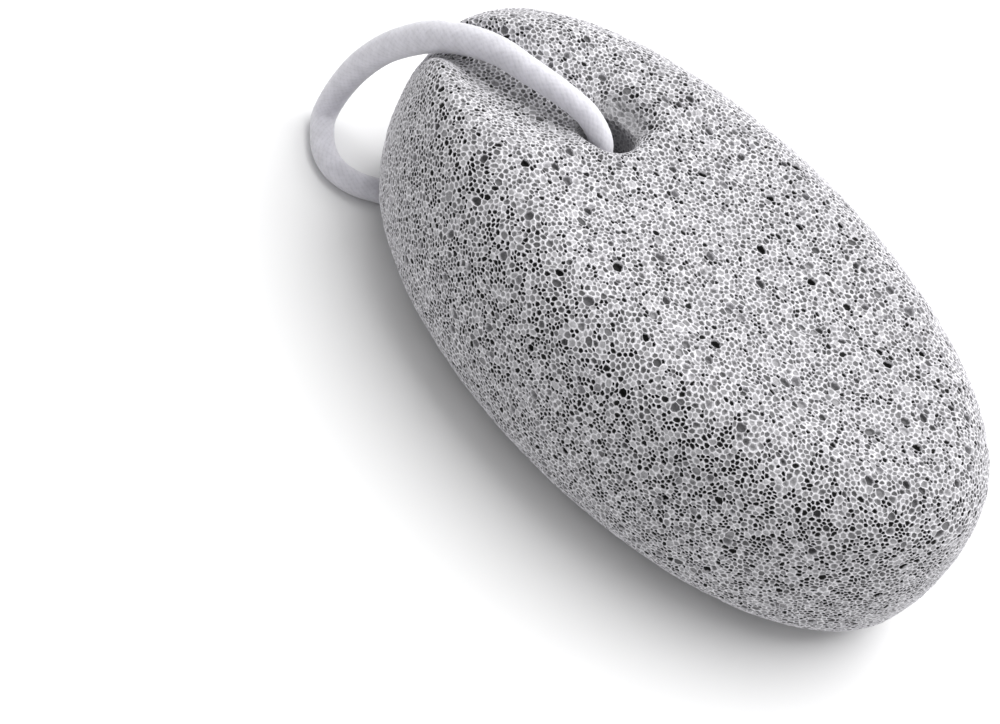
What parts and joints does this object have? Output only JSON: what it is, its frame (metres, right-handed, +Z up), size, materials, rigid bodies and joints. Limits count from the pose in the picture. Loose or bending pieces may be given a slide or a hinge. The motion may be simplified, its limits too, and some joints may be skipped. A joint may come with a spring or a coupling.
{
  "type": "pumice stone",
  "caption": "Oval pale grey pumice stone with rounded edges, an open-pored surface, a hole near one end, a cord groove on each face and a loop of white cord.",
  "frame": {"origin": "centre of the flat underside, on the surface that the stone lies on", "axes": "+X along the stone's long axis, away from the end with the hole; +Z up, through the stone's thickness"},
  "size_m": [0.1097, 0.056, 0.0361],
  "materials": {
    "pumice": "rough open-pored pale grey pumice, fully matt",
    "white_cord": "soft white braided cord"
  },
  "bodies": {
    "root": {"stone": "pumice", "cord": "white_cord"}
  },
  "joints": []
}
